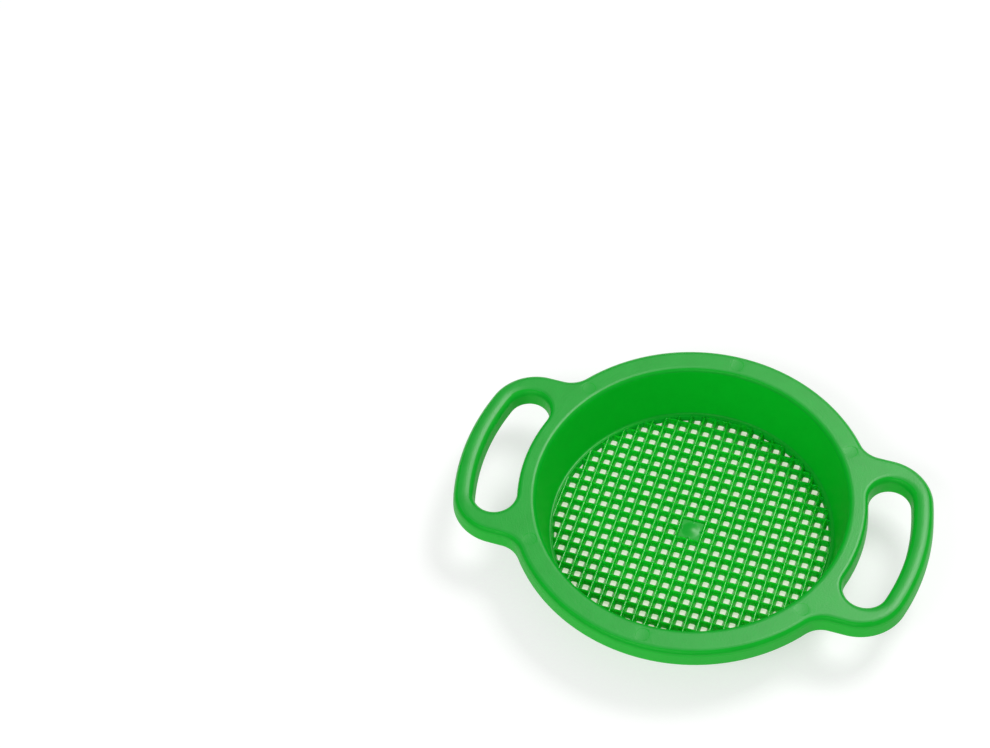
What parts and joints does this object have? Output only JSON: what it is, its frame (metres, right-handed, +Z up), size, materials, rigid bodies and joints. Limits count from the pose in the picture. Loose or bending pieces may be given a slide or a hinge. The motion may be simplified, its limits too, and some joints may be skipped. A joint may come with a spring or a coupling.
{
  "type": "sand sieve",
  "caption": "Round plastic sand sieve: a shallow bowl with a square mesh floor, a broad rounded rim with a skirt, and a loop handle on each side.",
  "frame": {"origin": "centre of the face that the sieve rests on", "axes": "+X towards the right handle, through both handles; +Y towards the back; +Z up, out of the bowl"},
  "size_m": [0.265, 0.203, 0.0385],
  "materials": {
    "bowl_plastic": "glossy saturated green, smooth from the mould",
    "rim_plastic": "satin green with a fine mould texture"
  },
  "bodies": {
    "root": {"mesh_floor": "bowl_plastic", "centre_plate": "bowl_plastic", "base_ring": "bowl_plastic", "side_wall": "bowl_plastic", "rim": "rim_plastic", "left_grip": "rim_plastic", "right_grip": "rim_plastic", "left_front_arm": "rim_plastic", "left_back_arm": "rim_plastic", "right_front_arm": "rim_plastic", "right_back_arm": "rim_plastic"}
  },
  "joints": []
}
